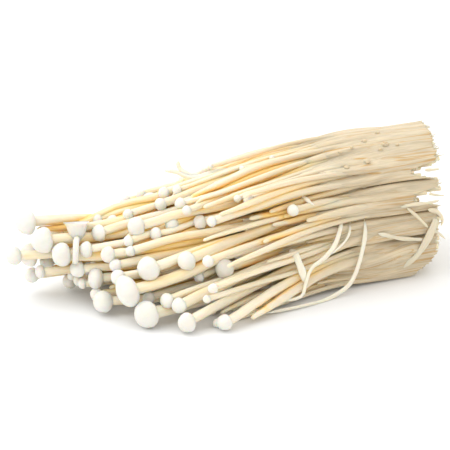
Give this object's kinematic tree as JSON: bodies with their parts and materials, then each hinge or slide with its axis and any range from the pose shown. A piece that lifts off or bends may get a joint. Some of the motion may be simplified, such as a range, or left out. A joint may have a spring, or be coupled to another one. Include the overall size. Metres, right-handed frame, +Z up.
{
  "type": "enoki mushroom bunch",
  "caption": "Bunch of long thin pale mushrooms with small domed caps, lying on its side, grown together and cut off at the base, torn into clumps.",
  "frame": {"origin": "on the surface it rests on, at the flat spot under the grown-together base, near the cut end", "axes": "+Z up from the surface; +X along the stems from the caps to the cut end; the camera side of the bunch faces -Y"},
  "size_m": [0.1325, 0.0673, 0.0408],
  "materials": {
    "stem_flesh": "moist satin, cream stems with ochre crevices",
    "cap_skin": "smooth satin, near-white caps",
    "base_fibre": "matt, torn fibres of the cut base"
  },
  "bodies": {
    "root": {"top_clump": "stem_flesh", "middle_clump": "stem_flesh", "lower_clump": "stem_flesh", "bottom_clump": "stem_flesh", "rear_upper_clump": "stem_flesh", "rear_lower_clump": "stem_flesh"}
  },
  "joints": []
}
